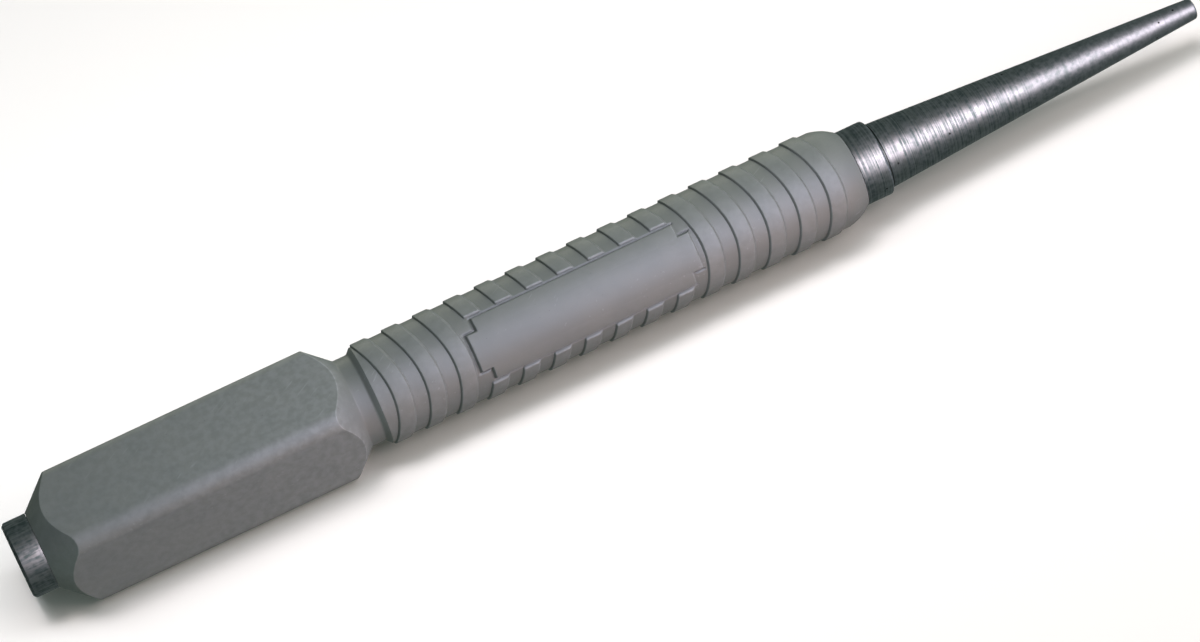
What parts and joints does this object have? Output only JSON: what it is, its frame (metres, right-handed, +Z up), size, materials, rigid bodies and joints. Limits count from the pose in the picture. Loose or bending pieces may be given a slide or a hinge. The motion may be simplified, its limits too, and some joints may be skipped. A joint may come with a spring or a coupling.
{
  "type": "nail setter",
  "caption": "Nail setter: a turned steel punch with a cupped tip, held in a moulded grip with a square anti-roll head, a neck and a ribbed barrel with a bare raised plate.",
  "frame": {"origin": "under the middle of the tool's length, on the plane that one flat of the square head rests on", "axes": "+X along the tool from the struck face to the tip, +Z up from the flat it rests on, the raised plate facing up and towards -Y"},
  "size_m": [0.13, 0.0108, 0.0108],
  "materials": {
    "steel": "turned, lightly oiled",
    "grip": "matte moulded"
  },
  "bodies": {
    "root": {"steel_punch": "steel", "moulded_grip": "grip"}
  },
  "joints": []
}
